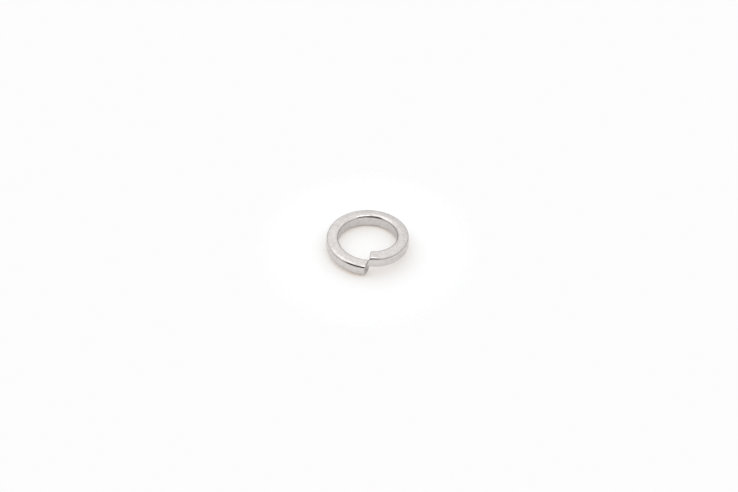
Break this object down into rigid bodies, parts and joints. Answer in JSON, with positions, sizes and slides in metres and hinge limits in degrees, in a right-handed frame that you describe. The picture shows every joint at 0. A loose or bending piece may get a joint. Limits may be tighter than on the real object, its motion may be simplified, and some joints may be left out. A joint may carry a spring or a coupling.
{
  "type": "spring lock washer",
  "caption": "Split spring lock washer: a turn of left-hand keystone wire with sprung-apart ends, which keeps a screw from working loose.",
  "frame": {"origin": "on the bore's axis, level with the washer's lowest edge", "axes": "+Z along the bore axis towards the raised end's side, -Y through the slit, +X towards the raised end's half"},
  "size_m": [0.0172, 0.0172, 0.0056],
  "materials": {
    "washer": "bright, tumbled spring steel with fine drawing lines along the wire"
  },
  "bodies": {
    "root": {"washer": "washer"}
  },
  "joints": []
}
